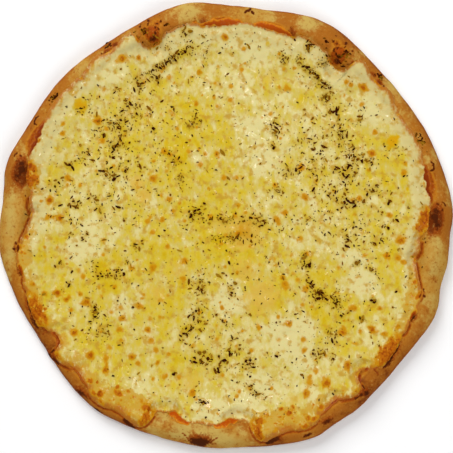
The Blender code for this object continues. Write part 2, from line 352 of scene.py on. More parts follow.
# Where the rings lie, as shares of the foot's radius or by their number in each stretch.
UNDERSIDE_RINGS = (0.02, 0.12, 0.24, 0.36, 0.48, 0.6, 0.7, 0.8, 0.87, 0.93, 0.97)
FLANK_RINGS = 12
CREST_RINGS = 18
SLOPE_RINGS = 16
LAST_RING = 0.8


def dough_profile(bearing):
    """Radii and heights of rings, from the middle of the underside, round the rim and in again."""
    rim = outline(rim_radius, bearing)
    foot = rim - UNDERCUT
    rings = [(foot * share, 0.0) for share in UNDERSIDE_RINGS]
    for turn in np.radians(np.linspace(0.0, 90.0, FLANK_RINGS)):
        rings.append((foot + UNDERCUT * math.sin(turn), WIDEST_HEIGHT * (1.0 - math.cos(turn))))
    crest_inset, height = crest(bearing)
    for turn in np.radians(np.linspace(0.0, 90.0, CREST_RINGS + 1)[1:]):
        inset = crest_inset * (1.0 - math.cos(turn))
        rings.append((rim - inset, WIDEST_HEIGHT + (height - WIDEST_HEIGHT) * math.sin(turn)))
    for inset in np.linspace(0.0, INNER_SLOPE, SLOPE_RINGS + 1)[1:]:
        radius = rim - crest_inset - inset
        rings.append((radius, dough_top(bearing, radius)))
    rings.append((np.full_like(rim, LAST_RING * ROUND_RADIUS), BED_THICKNESS))
    return np.moveaxis([np.broadcast_arrays(*ring) for ring in rings], 1, 0)


def solid_of_rings(name, points):
    """A closed mesh through rings of points, with a fan of triangles in each end."""
    rings, spokes = points.shape[:2]
    number = np.arange(rings * spokes).reshape(rings, spokes)
    following = np.roll(number, -1, axis=1)
    quads = np.stack([number[:-1], number[1:], following[1:], following[:-1]], axis=-1).reshape(-1, 4)
    centres = points[[0, -1]].mean(axis=1)
    every_point = np.concatenate([points.reshape(-1, 3), centres])
    start, end = rings * spokes, rings * spokes + 1
    fans = [(start, a, b) for a, b in zip(number[0], following[0])]
    fans += [(end, b, a) for a, b in zip(number[-1], following[-1])]
    mesh = bpy.data.meshes.new(name)
    mesh.from_pydata((every_point * MM).tolist(), [], quads.tolist() + fans)
    return finished_object(name, mesh)


def finished_object(name, mesh):
    """Turns every face outwards, shades the mesh smooth and puts it in the scene."""
    bm = bmesh.new()
    bm.from_mesh(mesh)
    bmesh.ops.recalc_face_normals(bm, faces=bm.faces)
    bm.to_mesh(mesh)
    bm.free()
    mesh.shade_smooth()
    return put_in_scene(name, mesh)


def put_in_scene(name, data):
    made = bpy.data.objects.new(name, data)
    bpy.context.scene.collection.objects.link(made)
    return made


def paint(piece, **masks):
    """Stores masks, one value a point, as the mesh's attributes."""
    for name, values in masks.items():
        attribute = piece.data.attributes.new(name, "FLOAT", "POINT")
        padded = np.zeros(len(piece.data.vertices))
        padded[:values.size] = np.ravel(values)
        attribute.data.foreach_set("value", padded)


def outward(points):
    """Unit normals of a grid of points, whose columns run round the pizza."""
    along = np.gradient(points, axis=0)
    around = np.roll(points, -1, axis=1) - np.roll(points, 1, axis=1)
    normal = np.cross(around, along)
    return normal / np.maximum(np.linalg.norm(normal, axis=2, keepdims=True), 1e-9)


bearing = np.arange(RIM_SPOKES) * 360.0 / RIM_SPOKES
radius, height = dough_profile(bearing)
bearing = np.broadcast_to(bearing, radius.shape)
points = place(bearing, radius, height)
normals = outward(points)
upright = normals[..., 2]
outside = ramp(height, *BASE_ENDS)
raised = relief(points, CRUST_RELIEF) + patches(bearing, radius, BLISTERS, BAKED_BLUNTNESS)
raised *= outside * (0.35 + 0.65 * ramp(upright, 0.0, 0.7))
points += normals * raised[..., None]
hollowed = np.maximum(0.0, relief(points, UNDERSIDE_RELIEF))
points[..., 2] += (1.0 - outside) * hollowed * ramp(upright, -0.3, -0.9)
points[..., 2] = np.maximum(points[..., 2], 0.0)
crust = solid_of_rings("baked_crust", points)

above = ramp(upright, -0.2, 0.3)
beyond_cheese = radius - outline(cheese_radius, bearing)
burnt = np.maximum(patches(bearing, radius, BURNT, BURNT_BLUNTNESS), lines(bearing, radius, BURNT_LINES))
browned = patches(bearing, radius, BROWNED, BAKED_BLUNTNESS)
browned = np.maximum(browned, lines(bearing, radius, BROWNED_LINES))
along_half = on_left_half(bearing)
paint(
    crust,
    burnt=above * burnt,
    browned=above * browned,
    pale=above * (patches(bearing, radius, PALE) + swell(bearing, PALER_ON_RIGHT)),
    browner=outside * swell(along_half, BROWNER),
    # The outermost band of the rim's flank, where painted shade darkens it.
    flank=outside * ramp(outline(rim_radius, bearing) - radius, SHADED_FLANK_DEPTH, 0.2),
    greased=above * ramp(beyond_cheese, GREASE_REACH, 0.0) * swell(along_half, GREASY),
    reddened=above * patches(bearing, radius, REDDENED, BAKED_BLUNTNESS),
    haloed=above * lines(bearing, radius, HALOES),
    underneath=1.0 - ramp(height, *FLOUR_ENDS),
)


class Socket:
    """A socket of a node tree. Sums and products with it add Math nodes."""

    def __init__(self, tree, output=None):
        self.tree = tree
        self.output = output

    def node(self, kind, settings, inputs, output=0):
        """Adds a node with its settings and the values or links of its sockets."""
        made = self.tree.nodes.new(kind)
        for name, setting in settings.items():
            setattr(made, name, setting)
        for name, value in inputs.items():
            if isinstance(value, Socket):
                self.tree.links.new(value.output, made.inputs[name])
            else:
                made.inputs[name].default_value = value
        return Socket(self.tree, made.outputs[output])

    def math(self, operation, *values):
        return self.node("ShaderNodeMath", {"operation": operation}, dict(enumerate(values)))

    def __add__(self, other):
        return self.math("ADD", self, other)

    def __sub__(self, other):
        return self.math("SUBTRACT", self, other)

    def __rsub__(self, other):
        return self.math("SUBTRACT", other, self)

    def __mul__(self, other):
        return self.math("MULTIPLY", self, other)

    __radd__ = __add__
    __rmul__ = __mul__

    def between(self, low, high):
        """0 up to low, 1 from high on, smooth between them."""
        limits = {"Value": self, "From Min": low, "From Max": high}
        return self.node("ShaderNodeMapRange", {"interpolation_type": "SMOOTHSTEP"}, limits)

    def mix(self, colour, other):
        """From one colour to another, by this socket's value."""
        inputs = {0: self, 6: colour_value(colour), 7: colour_value(other)}
        return self.node("ShaderNodeMix", {"data_type": "RGBA"}, inputs, output=2)


def colour_value(colour):
    return colour if isinstance(colour, Socket) else (*colour, 1.0)


class Finish:
    """A material for one piece: its shader, the masks and patterns for it, and its layered colour."""

    def __init__(self, name, constants, colour):
        self.colour = colour
        self.material = bpy.data.materials.new(name)
        self.material.use_nodes = True
        tree = self.material.node_tree
        self.shader = tree.nodes["Principled BSDF"]
        for socket, value in constants.items():
            self.shader.inputs[socket].default_value = value
        self.start = Socket(tree)
        self.place = self.start.node("ShaderNodeTexCoord", {}, {}, output="Object")

    def lattice(self, squeeze=(1.0, 1.0, 1.0)):
        """The places patterns are read at. Patterns get longer along an axis squeezed below 1."""
        inputs = {"Vector": self.place, "Scale": squeeze, "Rotation": ASKEW, "Location": LATTICE_START}
        return self.start.node("ShaderNodeMapping", {}, inputs)

    def noise(self, size_mm, detail=2.0, roughness=0.5, squeeze=(1.0, 1.0, 1.0)):
        """Cloudy noise with lumps about this large, from 0 to 1."""
        inputs = {"Vector": self.lattice(squeeze), "Scale": 1.0 / (size_mm * MM)}
        inputs.update({"Detail": detail, "Roughness": roughness})
        return self.start.node("ShaderNodeTexNoise", {}, inputs)

    def cells(self, size_mm):
        """Distances from the middles of small cells about this large."""
        inputs = {"Vector": self.lattice(), "Scale": 1.0 / (size_mm * MM)}
        return self.start.node("ShaderNodeTexVoronoi", {}, inputs)

    def mask(self, name):
        return self.start.node("ShaderNodeAttribute", {"attribute_name": name}, {}, output="Fac")

    def cover(self, share, colour):
        """Lays a colour over those before it: 0 leaves them as they are, and 1 hides them."""
        self.colour = share.mix(self.colour, colour)

    def feed(self, name, value):
        self.start.tree.links.new(value.output, self.shader.inputs[name])

    def bump(self, height, depth_mm):
        inputs = {"Height": height, "Distance": depth_mm * MM}
        self.feed("Normal", self.start.node("ShaderNodeBump", {}, inputs))


GOLDEN = (0.465, 0.225, 0.030)
TAN = (0.378, 0.124, 0.011)
STRAW = (0.525, 0.350, 0.082)
TOAST_AND_SHADE_BROWN = (0.285, 0.075, 0.005)
SEARED = (0.280, 0.052, 0.003)
RED_BROWN = (0.150, 0.026, 0.002)
CHARRED = (0.068, 0.013, 0.002)
GREASED = (0.475, 0.195, 0.014)
SAUCE_GLOW = (0.460, 0.165, 0.010)
SAUCE_STAIN = (0.330, 0.060, 0.002)
FLOURED = (0.560, 0.390, 0.180)

finish = Finish("baked_dough", {"Specular IOR Level": 0.03, "Coat Roughness": 0.35}, GOLDEN)
cloud = finish.noise(17.0, 3.0)
speckle = finish.noise(1.6, 4.0, 0.65)
mottle = finish.noise(5.5, 4.0, 0.62)
uneven = (cloud - 0.5) * 1.5 + (mottle - 0.5) * 1.1 + (speckle - 0.5) * 0.5
finish.cover((finish.mask("pale") - uneven).between(-0.2, 0.75), STRAW)
brown = finish.mask("browner") + uneven
finish.cover(brown.between(0.05, 0.5), TAN)
finish.cover(finish.mask("greased") * mottle.between(0.3, 0.55) * 0.8, GREASED)
# Painted shade: the rim's rounded outer flank is darkened toward this brown, on top of the browner
# stretches that baking left.
finish.cover((finish.mask("flank") * 0.6 + brown * 0.7).between(0.35, 1.1), TOAST_AND_SHADE_BROWN)
finish.cover(brown.between(0.9, 1.5), RED_BROWN)
halo = finish.mask("haloed") * (1.0 + (mottle - 0.5) * 2.0)
finish.cover(halo.between(0.1, 0.6) * 0.6, SAUCE_GLOW)
finish.cover(halo.between(0.35, 0.9) * 0.8, SAUCE_STAIN)
edged = finish.mask("browned") + (mottle - 0.5) * 1.0 + (speckle - 0.5) * 0.7
finish.cover(edged.between(0.2, 0.7) * 0.9, SEARED)
finish.cover(edged.between(0.65, 1.1), RED_BROWN)
finish.cover(finish.mask("browned") * speckle.between(0.5, 0.64) * 0.8, RED_BROWN)
reddened = finish.mask("reddened") + (mottle - 0.5) * 0.5 + (speckle - 0.5) * 0.3
finish.cover(reddened.between(0.15, 0.55), SAUCE_GLOW)
finish.cover(reddened.between(0.5, 0.95), SAUCE_STAIN)
stained = finish.mask("reddened").between(0.4, 1.1)
finish.cover(stained * speckle.between(0.5, 0.64) * 0.8, RED_BROWN)
below = finish.mask("underneath")
leopard = finish.noise(11.0, 4.0, 0.62)
finish.cover(below * 0.9, FLOURED)
finish.cover(below * leopard.between(0.45, 0.75) * 0.6, TAN)
finish.cover(speckle.between(0.54, 0.74) * 0.4, TOAST_AND_SHADE_BROWN)
finish.cover((1.0 - speckle).between(0.56, 0.74) * 0.35, STRAW)
scorched = finish.mask("burnt") + (speckle - 0.5) * 1.6 + (mottle - 0.5) * 0.9
finish.cover(scorched.between(0.2, 0.55), RED_BROWN)
finish.cover(scorched.between(0.45, 0.85), CHARRED)
finish.feed("Base Color", finish.colour)
finish.feed("Coat Weight", (1.0 - scorched.between(0.1, 0.5)) * 0.02)
finish.feed("Roughness", 0.9 - mottle * 0.3)
finish.bump(mottle * 0.4 + speckle * 0.35 + finish.noise(0.7, 3.0) * 0.25, 0.3)
crust.data.materials.append(finish.material)

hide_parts("dough")
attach(crust, "root")


# ---- The tomato sauce ----------------------------------------------------------------------
# Crushed tomato, spread thin over the dish of the dough and baked on. The cheese covers it but
# for a dark red or orange line at its edge.

SAUCE_THICKNESS = 1.1
# How far the sauce reaches past the cheese, on the left half: (bearing, reach). Below 0 is hidden.
SAUCE_REACH = [
    (84.5, -1), (85.6, 1.2), (87, 3.2), (88.4, 4.2), (90, 4.4), (93, 4), (95, 2.8), (97.6, 1.1),
    (98.4, 1.2), (99.6, 0.6), (100.2, -1), (149.5, -1), (150.2, 1.4), (152, 2.8), (153.6, 3.8),
    (155, 2.8), (156.4, 3.2), (158.6, 2.4), (160.6, 1), (161.4, -1), (210.8, -1), (211.3, 0.8),
    (212, 2.2), (213, 2), (214.2, 2.2), (215, 3.4), (215.8, 2), (216.4, -1), (221.8, -1), (222.4, 1),
    (224, 1.4), (226, 1.3), (228, 1.3), (229.6, 0.9), (230.4, -1), (252.2, -1), (252.8, 0.8),
    (254.2, 3.4), (256, 4), (258, 2.6), (259.4, 1.4), (260.2, -1),
]
# (distance in from the edge, share of the thickness), out along the underside and back on top.
SAUCE_SECTION = [
    (14, -0.6), (7, -0.6), (2, -0.6), (0, -0.5), (0, -0.1), (0.3, 0.2), (0.8, 0.35), (1.5, 0.42),
    (2.3, 0.45), (3.2, 0.45), (4.4, 0.5), (6, 0.7), (9, 0.7), (14, 0.3),
]
SAUCE_EDGE_WAVES = [(0.5, 2.5, 4)]
SAUCE_RELIEF = [(0.18, 3.0, 11), (0.1, 1.5, 12)]


def sauce_radius(bearing):
    ragged = relief(place(bearing, ROUND_RADIUS, 0.0), SAUCE_EDGE_WAVES)
    return cheese_radius(bearing) + np.interp(on_left_half(bearing), *zip(*SAUCE_REACH)) + ragged


OUTLINES[sauce_radius] = sauce_radius(SPOKE_BEARINGS)
bearing = np.arange(RIM_SPOKES) * 360.0 / RIM_SPOKES
reach = outline(sauce_radius, bearing)
radius = np.array([reach - inset for inset, _ in SAUCE_SECTION])
share = np.array([[share] for _, share in SAUCE_SECTION])
bearing = np.broadcast_to(bearing, radius.shape)
height = dough_top(bearing, radius) + share * SAUCE_THICKNESS
points = place(bearing, radius, height)
points[..., 2] += relief(points, SAUCE_RELIEF)
sauce = solid_of_rings("sauce_layer", points)
# It baked dark red at the sides of the pizza, redder at its top and orange at its bottom.
from_top = np.abs(apart(bearing, HALVES_AXIS))
orange = 0.8 * ramp(from_top, 30.0, 15.0) + ramp(from_top, 150.0, 165.0)
paint(sauce, orange=orange, outer=ramp(reach - radius, 2.7, 0.2))

DEEP_RED = (0.225, 0.030, 0.002)
RUST_RED = (0.450, 0.074, 0.002)
EMBER = (0.360, 0.085, 0.005)
BAKED_ORANGE = (0.620, 0.210, 0.007)
DRIED = (0.140, 0.020, 0.002)

finish = Finish("baked_sauce", {
    "Coat Weight": 0.05, "Coat Roughness": 0.15, "Specular IOR Level": 0.03,
}, DEEP_RED)
pulp = finish.noise(2.4, 4.0, 0.6)
orange = finish.mask("orange")
outer = finish.mask("outer") + (finish.noise(3.4, 3.0, 0.6) - 0.5) * 2.4 + (pulp - 0.5) * 0.8
finish.cover(orange, RUST_RED)
finish.cover(outer.between(0.15, 0.95), orange.mix(EMBER, BAKED_ORANGE))
finish.cover(pulp.between(0.58, 0.8), DRIED)
finish.feed("Base Color", finish.colour)
finish.feed("Roughness", 0.3 + pulp * 0.25)
finish.bump(pulp, 0.3)
sauce.data.materials.append(finish.material)

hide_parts("tomato_sauce")
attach(sauce, "root")


# ---- The melted cheese ---------------------------------------------------------------------
# Four grated and crumbled cheeses, melted into one uneven sheet with buttery, milky and oily
# places. Its bubbles toasted orange and brown, and its edge crisped where it ran up the rim.

CHEESE_THICKNESS = 3.0
GRID = 300
EDGE_THICKNESS = 0.35
EDGE_ZONE = 20.0
EDGE_RISE = 8.0
DISH_WIDTH = 32.0
FILL_WIDTH = 5.0
FILL_WIDTH_PER_RECESS = 1.8
# A milky band runs inside the edge of the upper half: how far in, and how far from the top.
BAND_REACH = (14.0, 5.0)
UPPER_HALF = (118.0, 88.0)
# (distance in from the edge, height above the dough) round the lip and back in under the sheet.
LIP = [(-0.08, 0.2), (-0.03, -0.1), (0.6, -0.6), (3, -0.7), (9, -0.7)]
# Layers of hills, as on the dough.
CHEESE_SWELLS = [(0.4, 24.0, 15)]
CURD_RELIEF = [(0.5, 8.5, 16), (0.27, 4.2, 17), (0.1, 2.2, 18)]
FROTH_RELIEF = [(0.4, 2.6, 19)]
BAND_RELIEF = [(0.2, 5.0, 22), (0.12, 2.3, 23)]
TAN_EDGE_WAVES = [(3.0, 7.0, 24)]
DAB_WOBBLE = [(0.4, 2.2, 13), (0.35, 4.6, 20)]
TOAST_RISE = 0.35
FRY_RISE = 0.25
FRECKLE_RISE = 0.25
FRECKLE_STRENGTH = 0.62
FRECKLE_BLUNTNESS = 2.4
MILKY_BLUNTNESS = 3.0
CALMING = 0.75
LUMPS_AT_EDGE = 0.25
# Places in millimetres from the middle: (x, y, radius, strength). Those of the left half return
# in the right one.
TOASTED_LEFT = [
    (-69.8, 111.7, 2.4, 1), (-58.4, 112.4, 1.4, 0.9), (-85.9, 70.1, 2.4, 1), (-108.7, 68.1, 1.7, 0.6),
    (-109.4, 61.4, 1.9, 0.7), (-41.6, 50, 2.2, 0.8), (-49, 31.2, 2.4, 0.9), (-106.7, 32.5, 1.7, 0.7),
    (-118.1, 17.1, 2.7, 1), (-111.4, 5, 2.4, 0.9), (-118.8, 5.7, 1.9, 0.7), (-38.2, 17.8, 1.9, 0.7),
    (-35.6, 9.7, 1.8, 0.6), (-52.3, 3, 1.9, 0.6), (-113, -45.2, 2.4, 1), (-121.5, -45.5, 1.8, 0.8),
    (-105.3, -48, 1.6, 0.6), (-93.9, -51.3, 2.6, 1), (-102, -72, 2.5, 1), (-91, -87, 2.6, 1.1),
    (-80.2, -96.6, 2.3, 1), (-80.5, -88.9, 2.4, 0.6), (-57.7, -54, 2.2, 0.8), (-69.8, -62.1, 2.1, 0.7),
    (-49, -28.5, 2.3, 0.7), (-63.1, -28.5, 2.1, 0.7), (-71.8, -69.4, 1.9, 0.7), (-96, -34.6, 1.7, 0.7),
    (-81.9, -9.7, 1.5, 0.5), (-129.6, -39.5, 1.6, 0.6), (-104, -56.7, 1.5, 0.6), (-84.5, 64.1, 1.2, 0.4),
    (-109, 68, 1, 0.6), (-73.4, 110.2, 1.2, 0.5),
]
TOASTED_MIDDLE = [
    (-6, 48, 1.9, 0.8), (-1.3, 31.9, 2, 0.6), (-17.4, 40.6, 2, 0.7), (-10.7, 6.4, 2, 0.6),
    (-28.2, -23.8, 2.3, 0.7), (-0.5, 125.5, 2.1, 0.9), (34.2, 3.7, 2.4, 0.7), (40.3, 92.3, 2, 0.6),
    (30.2, 74.8, 1.8, 0.5), (7.4, 31.9, 1.8, 0.5), (39.6, -39.9, 1.9, 0.7), (53, -43.3, 1.9, 0.6),
    (-63.1, -88.2, 2.3, 0.8), (-59, -92.3, 1.7, 0.7), (-52.3, -70.1, 2.2, 0.8), (-50.3, -76.8, 2.2, 0.7),
    (-47, -83.5, 2, 0.6), (-41.6, -101.7, 2, 0.5), (-31.5, -101.7, 1.9, 0.6), (-22.8, -111.7, 2.2, 0.8),
    (8.3, -5.2, 1.9, 0.9), (-3, -12, 1.3, 0.5), (17, -8, 1.4, 0.5),
]
MILKY_LEFT = [
    (-97, -17, 10, 1), (-91, -4, 7, 0.8), (-69, -54, 8, 1.2), (-79, 102, 13, 0.6), (-45, 110, 8, 0.5),
    (-17, 47, 8.5, 1), (-60, -45, 7, 0.7), (-20, 21, 7, 0.4), (-60, -105, 9, 0.4),
]
MILKY_MIDDLE = [
    (-9, -124, 11, 1), (13, 124, 17, 0.8), (5, 93, 12, 0.6), (22, 62, 13, 0.7), (41, -72, 13, 1.3),
    (54, -90, 11, 0.8), (3, -50, 12, 0.8), (12, -120, 9, 0.8), (30, -112, 14, 0.5),
]
BUTTERY = [
    (-24, 50, 26, 1.05), (-20, 74, 13, 0.9), (-12, 12, 28, 0.8), (-45, -20, 22, 0.7), (0, -12, 26, 0.9),
    (-75, -40, 22, 0.8), (-38, -48, 20, 0.7), (32, -48, 18, 0.7), (2, 52, 10, 0.6), (-25, -100, 16, 0.6),
    (60, -52, 10, 0.6), (110, 45, 20, 0.4), (75, -55, 24, 0.7), (115, -20, 18, 0.6), (-60, 60, 30, 0.3),
    (-112, -40, 20, 0.6), (-80, -85, 20, 0.5),
]
PEACHY = [
    (24, -47, 13, 0.8), (14, -30, 11, 0.6), (-60, 28, 5, 1.1), (-55, 20, 5, 1), (-12, -121, 2.4, 0.9),
    (30, 100, 9, 0.4), (12, -4, 11, 1.4), (-2, 1, 8, 0.7), (-46, -46, 10, 0.5), (-31, -31, 9, 0.5),
    (-24, -104, 11, 0.5), (46, -118, 6, 0.5),
]
# Orange, crisp and frothy places at the edge, on the left half: (bearing, radius, half length,
# half width, strength).
FRIED = [
    (165.8, 136.6, 9, 3.4, 1.3), (166.8, 133, 6, 4, 1.1), (167.2, 130, 3, 2, 0.95),
    (163.6, 133.6, 3.4, 2.4, 0.8), (204.2, 138.8, 12.5, 5, 1.15), (206.6, 136.4, 4.4, 2.4, 0.95),
    (204.8, 133.4, 1.2, 1.6, 0.9), (201.6, 134.6, 3, 1, 0.8), (218.2, 142, 5, 2.4, 0.55),
    (228.6, 138, 2.6, 2.2, 0.95), (233.2, 140.2, 2.4, 2.6, 0.85), (234.6, 144.8, 3, 2, 0.8),
    (237.2, 133.2, 3, 1.9, 1.1), (236.1, 130.4, 1.4, 1.8, 0.95), (239.4, 128.8, 2, 1.3, 0.8),
    (230.6, 135.4, 1, 1, 0.9), (231.4, 142.6, 3.4, 1.8, 0.7), (247.6, 138.6, 4, 8, 0.95),
    (246.8, 133.4, 5.4, 3.2, 0.8), (244.6, 130.4, 5, 2, 0.5), (246.8, 143.4, 3, 3, 0.7),
    (264.2, 130.4, 0.9, 3.4, 0.45), (183.4, 133.4, 2, 1.7, 0.75), (187.5, 137.8, 1.3, 1.6, 0.8),
    (192.2, 140.4, 4.2, 1.5, 1), (186.4, 138.8, 3.6, 1.9, 0.9), (197, 134.2, 1.8, 1.5, 0.6),
    (155.4, 137, 2.6, 1, 0.55), (158.6, 136.6, 1.6, 1, 0.4), (176.6, 130.6, 2, 1, 0.7),
    (124, 140.4, 3.4, 1.4, 0.7), (125.8, 135.6, 1.4, 0.9, 0.6), (134.5, 138.2, 1, 1.8, 0.6),
    (115.4, 138, 1.2, 3, 0.7), (111.4, 130.8, 5.2, 1.8, 1), (96.6, 134.6, 3, 1.6, 0.6),
    (92, 134.2, 6, 0.9, 0.5), (222, 138.2, 2.6, 1.4, 0.5), (215, 134.6, 4, 1.2, 0.5),
    (242.6, 141, 3.4, 2, 0.4), (256, 130.2, 3, 0.9, 0.5),
]
# Yellow and orange fat that ran together, in the same terms.
GOLD = [
    (140.3, 126, 5, 5, 1.2), (140, 130, 1.8, 2.2, 1), (141.6, 122.6, 3, 2.4, 0.9),
    (139.2, 122.4, 2, 3, 0.7), (155.6, 125.3, 1.6, 1.2, 0.8), (157.2, 125, 1.6, 1.2, 0.5),
    (148.5, 128.8, 2.2, 1.1, 0.8), (150.8, 125.2, 1.5, 2, 0.8), (132, 124, 3, 3, 0.3),
    (190, 123, 6, 3, 0.5), (170, 122, 4, 2, 0.4), (184.6, 122.4, 3.6, 2, 0.5), (250, 125, 4, 2, 0.4),
    (243, 127, 4, 2.4, 0.4), (113.4, 126, 2, 2.4, 0.5), (102.8, 123.6, 1.8, 1.4, 0.6),
    (90.4, 124.6, 2.6, 3.2, 0.7), (226, 128, 8, 3, 0.3), (130.2, 128.4, 0.8, 1.4, 0.5),
]
# How the cheese browned near its edge, on the left half: (bearing, how tan, how far in that
# reaches, how far in the brown film at the very edge reaches).
EDGE_BAKE = [
    (83.4, 0.1, 4, 2), (98, 0.3, 5, 3), (103, 0.2, 5, 2.5), (106, 0.1, 4, 2.5), (112, 0.5, 5, 2.5),
    (116, 0.25, 4, 3), (126, 0.4, 7.5, 5), (149, 0.4, 7.5, 4.5), (150.6, 0.3, 5, 1.4), (156, 0.3, 5, 1.3),
    (160.6, 0.4, 6, 1.6), (162, 0.7, 9, 4), (164, 0.9, 11, 5), (169, 0.8, 9, 4), (172, 0.4, 6, 3.5),
    (178, 0.4, 6, 3.5), (181, 0.6, 9, 4), (186, 0.9, 11, 3), (190, 0.9, 13, 2.6), (194, 0.7, 10, 2.6),
    (198, 0.9, 10, 3.6), (208, 0.9, 11, 4), (212, 0.6, 7, 3), (216, 0.6, 8, 5), (221, 0.7, 11, 5),
    (226, 0.7, 11, 5), (230, 0.8, 12, 6), (236, 1, 17, 6), (242, 1, 19, 8.5), (247, 0.9, 15, 8),
    (249.4, 0.5, 6, 2.2), (258, 0.4, 6, 1.6), (263.4, 0.7, 7, 3), (264.4, 0.7, 7, 3),
]


def across_axis(places):
    """Places of the left half, and the like places of the right half."""
    turn = np.radians(2.0 * HALVES_AXIS)
    cos, sin = np.cos(turn), np.sin(turn)
    leftward = -RIGHT_HALF_SHIFT
    return places + [(x * cos + y * sin + leftward, x * sin - y * cos, *rest) for x, y, *rest in places]


def dabs(points, places, bluntness=2.0):
    """How strongly round dabs cover each point. They are a little uneven."""
    covered = np.zeros(points.shape[:-1])
    wobble = 1.0 + relief(points, DAB_WOBBLE)
    for x, y, radius, strength in places:
        away = np.hypot(points[..., 0] - x, points[..., 1] - y) / radius * wobble
        covered = np.maximum(covered, strength * np.exp(-(away**bluntness)))
    return covered


def strewn_in_disc(rng, count, within):
    """Random places, spread evenly over a disc."""
    reach = within * np.sqrt(rng.uniform(0.0, 1.0, count))
    angle = rng.uniform(0.0, 2.0 * math.pi, count)
    return reach * np.cos(angle), reach * np.sin(angle)


def freckled(count, within, smallest, largest, seed):
    """Small dabs strewn at random."""
    rng = np.random.default_rng(seed)
    x, y = strewn_in_disc(rng, count, within)
    sizes = rng.uniform(smallest, largest, count)
    return list(zip(x, y, sizes, rng.uniform(0.3, 1.15, count)))


def disc_of_grid(rows):
    """A square grid laid out as a disc of rings: the share of the radius, and the bearing."""
    across = np.linspace(-1.0, 1.0, rows + 1)
    x, y = np.meshgrid(across, across, indexing="xy")
    share = np.maximum(np.abs(x), np.abs(y))
    safe = np.where(share == 0.0, 1.0, share)
    eighth = np.where(np.abs(x) >= np.abs(y), y / safe, x / safe) * 45.0
    sideways = np.where(x >= 0.0, eighth, 180.0 - eighth)
    upright = np.where(y >= 0.0, 90.0 - eighth, 270.0 + eighth)
    return share, np.where(np.abs(x) >= np.abs(y), sideways, upright) % 360.0


def from_edge(points):
    """How far points of the sheet are from the nearest part of its edge."""
    edge_bearing = np.arange(0.0, 360.0, 0.1)
    line = place(edge_bearing, outline(cheese_radius, edge_bearing), 0.0)
    tree = KDTree(len(line))
    for number, point in enumerate(line):
        tree.insert(point, number)
    tree.balance()
    return [tree.find(point)[2] for point in points]


share, bearing = disc_of_grid(GRID)
edge = outline(cheese_radius, bearing)
radius = share * edge
flat = place(bearing, radius, 0.0)
inward = np.full(radius.shape, EDGE_ZONE)
near = edge - radius < EDGE_ZONE
inward[near] = np.minimum(from_edge(flat[near]), EDGE_ZONE)
band = ramp(inward, *BAND_REACH) * ramp(np.abs(apart(bearing, HALVES_AXIS)), *UPPER_HALF)
bake_bearings, *bakes = zip(*EDGE_BAKE)
along_half = on_left_half(bearing)
tanned, tan_reach, film_reach = (np.interp(along_half, bake_bearings, bake) for bake in bakes)
tanned = tanned * ramp(inward + relief(flat, TAN_EDGE_WAVES), tan_reach + 1.0, tan_reach - 5.0)
milky = dabs(flat, across_axis(MILKY_LEFT) + MILKY_MIDDLE, MILKY_BLUNTNESS)
milky = np.maximum(milky, 0.9 * band)
toasted = dabs(flat, across_axis(TOASTED_LEFT) + TOASTED_MIDDLE)
specks = freckled(340, within=126.0, smallest=0.6, largest=1.9, seed=14)
freckles = dabs(flat, specks, FRECKLE_BLUNTNESS)
fried = patches(bearing, radius, FRIED, BAKED_BLUNTNESS)
# The curds lie flatter in the milkiest places, the first ones of the lists.
calm = 1.0 - CALMING * dabs(flat, across_axis(MILKY_LEFT[:3]) + MILKY_MIDDLE[:1], MILKY_BLUNTNESS)
lumps = relief(flat, CHEESE_SWELLS) + calm * relief(flat, CURD_RELIEF) + band * relief(flat, BAND_RELIEF)
lumps += TOAST_RISE * toasted + FRECKLE_RISE * freckles
lumps += fried * (FRY_RISE + relief(flat, FROTH_RELIEF))
# The sheet lies on the dough, and fills the dish inside the rim in a gentle curve.
crest_inset, crest_height = crest(bearing)
settled_edge = outline(rim_radius, bearing) - outline(bare_width, bearing)
anchor = np.minimum(settled_edge, outline(rim_radius, bearing) - crest_inset)
anchor_height = dough_top(bearing, anchor) + EDGE_THICKNESS
level = BED_THICKNESS + SAUCE_THICKNESS + CHEESE_THICKNESS
filled = level + (anchor_height - level) * (1.0 - ramp(anchor - radius, 0.0, DISH_WIDTH))
full = SAUCE_THICKNESS + CHEESE_THICKNESS - EDGE_THICKNESS
height = dough_top(bearing, radius) + EDGE_THICKNESS + full * (1.0 - np.exp(-inward / EDGE_RISE))
# Where its edge lies further in than beside it, the sheet rises from there more gently.
edges_near = [outline(cheese_radius, bearing + turn) for turn in (-2.0, 0.0, 2.0)]
recess = sum(np.maximum(0.0, settled_edge - edge_near) for edge_near in edges_near) / 3.0
fill_width = FILL_WIDTH + FILL_WIDTH_PER_RECESS * recess
height += np.maximum(0.0, filled - height) * ramp(inward, 0.0, fill_width)
height += lumps * (LUMPS_AT_EDGE + (1.0 - LUMPS_AT_EDGE) * ramp(inward, 0.0, 4.0))

# The top is a grid. The lip goes on from the grid's edge in rings, and a last face closes it.
number = np.arange(share.size).reshape(share.shape)
squares = (number[:-1, :-1], number[:-1, 1:], number[1:, 1:], number[1:, :-1])
quads = [np.stack(squares, axis=-1).reshape(-1, 4)]
ring = np.concatenate([number[0, :-1], number[:-1, -1], number[-1, :0:-1], number[:0:-1, 0]])
lip_bearing = bearing.ravel()[ring]
points = [place(bearing, radius, height).reshape(-1, 3)]
for inset, above_dough in LIP:
    lip_radius = outline(cheese_radius, lip_bearing) - inset
    points.append(place(lip_bearing, lip_radius, dough_top(lip_bearing, lip_radius) + above_dough))
    following = ring.max() + 1 + np.arange(ring.size)
    quads.append(np.stack([following, np.roll(following, -1), np.roll(ring, -1), ring], axis=-1))
    ring = following
mesh = bpy.data.meshes.new("cheese_sheet")
faces = np.concatenate(quads).tolist() + [ring.tolist()]
mesh.from_pydata((np.concatenate(points) * MM).tolist(), [], faces)
cheese = finished_object("cheese_sheet", mesh)
burnt_edge = patches(bearing, radius, BURNT, BURNT_BLUNTNESS)
